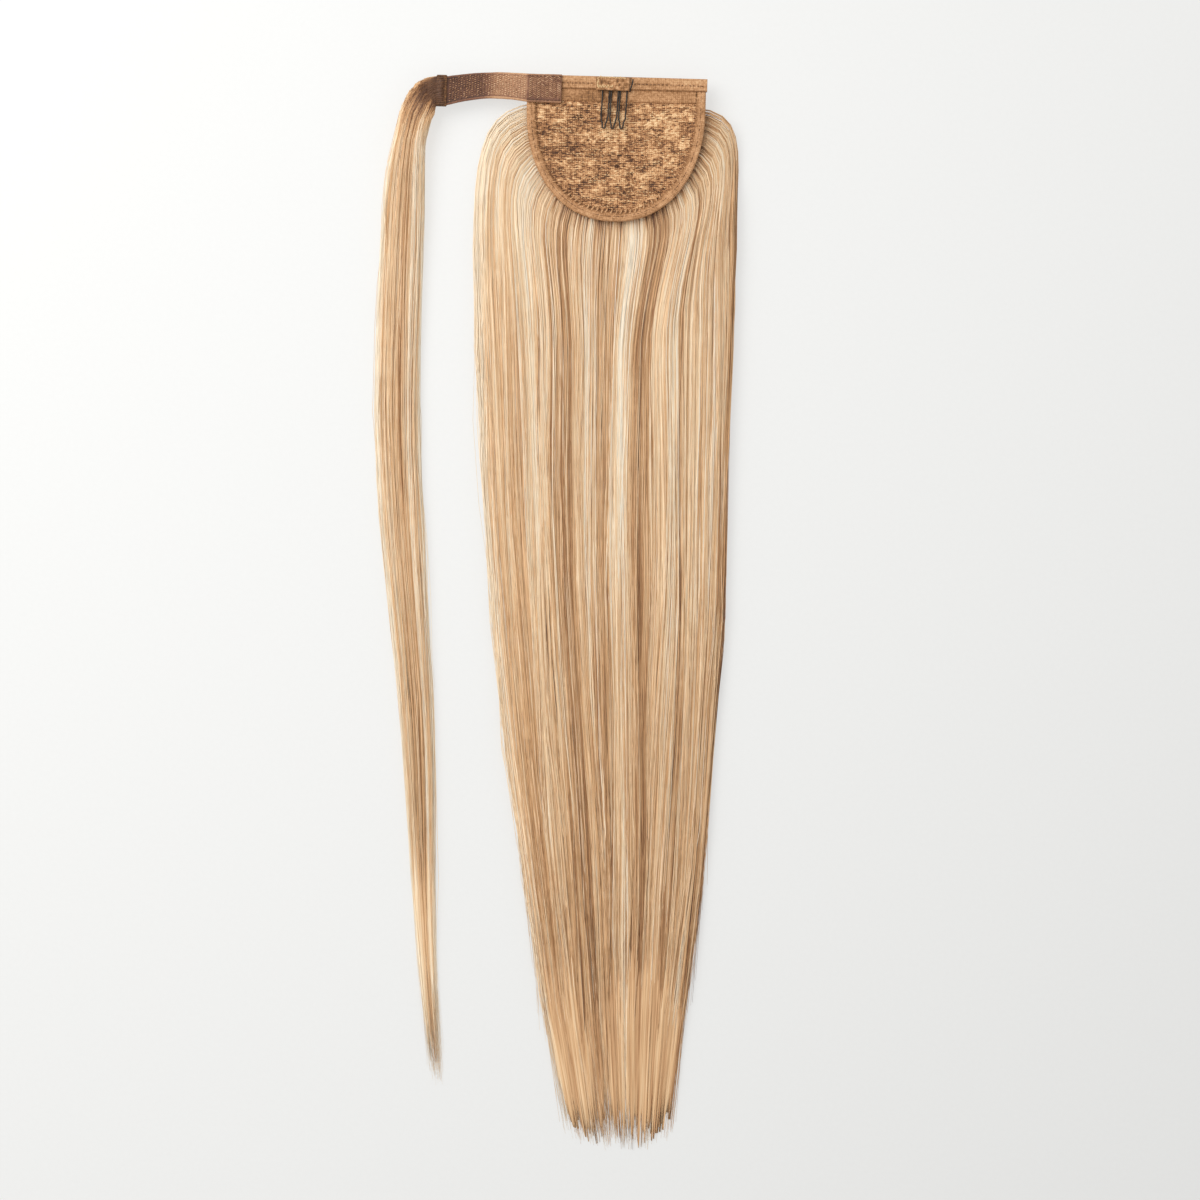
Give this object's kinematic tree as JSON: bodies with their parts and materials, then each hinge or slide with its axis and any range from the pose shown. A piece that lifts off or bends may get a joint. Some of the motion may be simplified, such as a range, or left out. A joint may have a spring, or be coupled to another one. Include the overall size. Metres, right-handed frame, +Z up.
{
  "type": "wrap-around ponytail hairpiece with a net cap, comb and hook tape",
  "caption": "Long straight ponytail hairpiece lying flat, inside of its net cap up, with a wire comb, a hook tape and a wrap strand.",
  "frame": {"origin": "middle of the footprint on the surface it lies on", "axes": "+Z up, +Y from the tips of the hair to the cap, +X to the side away from the wrap strand, seen from above"},
  "size_m": [0.2046, 0.6052, 0.0206],
  "materials": {
    "net": "matte knitted net",
    "woven_tape": "matte woven tape",
    "hook_tape": "matte hook and loop tape",
    "comb_wire": "black coated spring wire",
    "hair": "straight hair in mixed blonds, soft gloss along its length"
  },
  "bodies": {
    "root": {"net_foundation": "net", "net_yoke": "net", "edge_binding": "woven_tape", "top_band": "woven_tape", "weft_track_1": "woven_tape", "weft_track_2": "woven_tape", "weft_track_3": "woven_tape", "weft_track_4": "woven_tape", "weft_track_5": "woven_tape", "comb_pocket": "woven_tape", "comb": "comb_wire", "hook_tape": "hook_tape", "root_sleeve": "woven_tape", "wrap_strand": "hair", "hair_fall": "hair"}
  },
  "joints": []
}
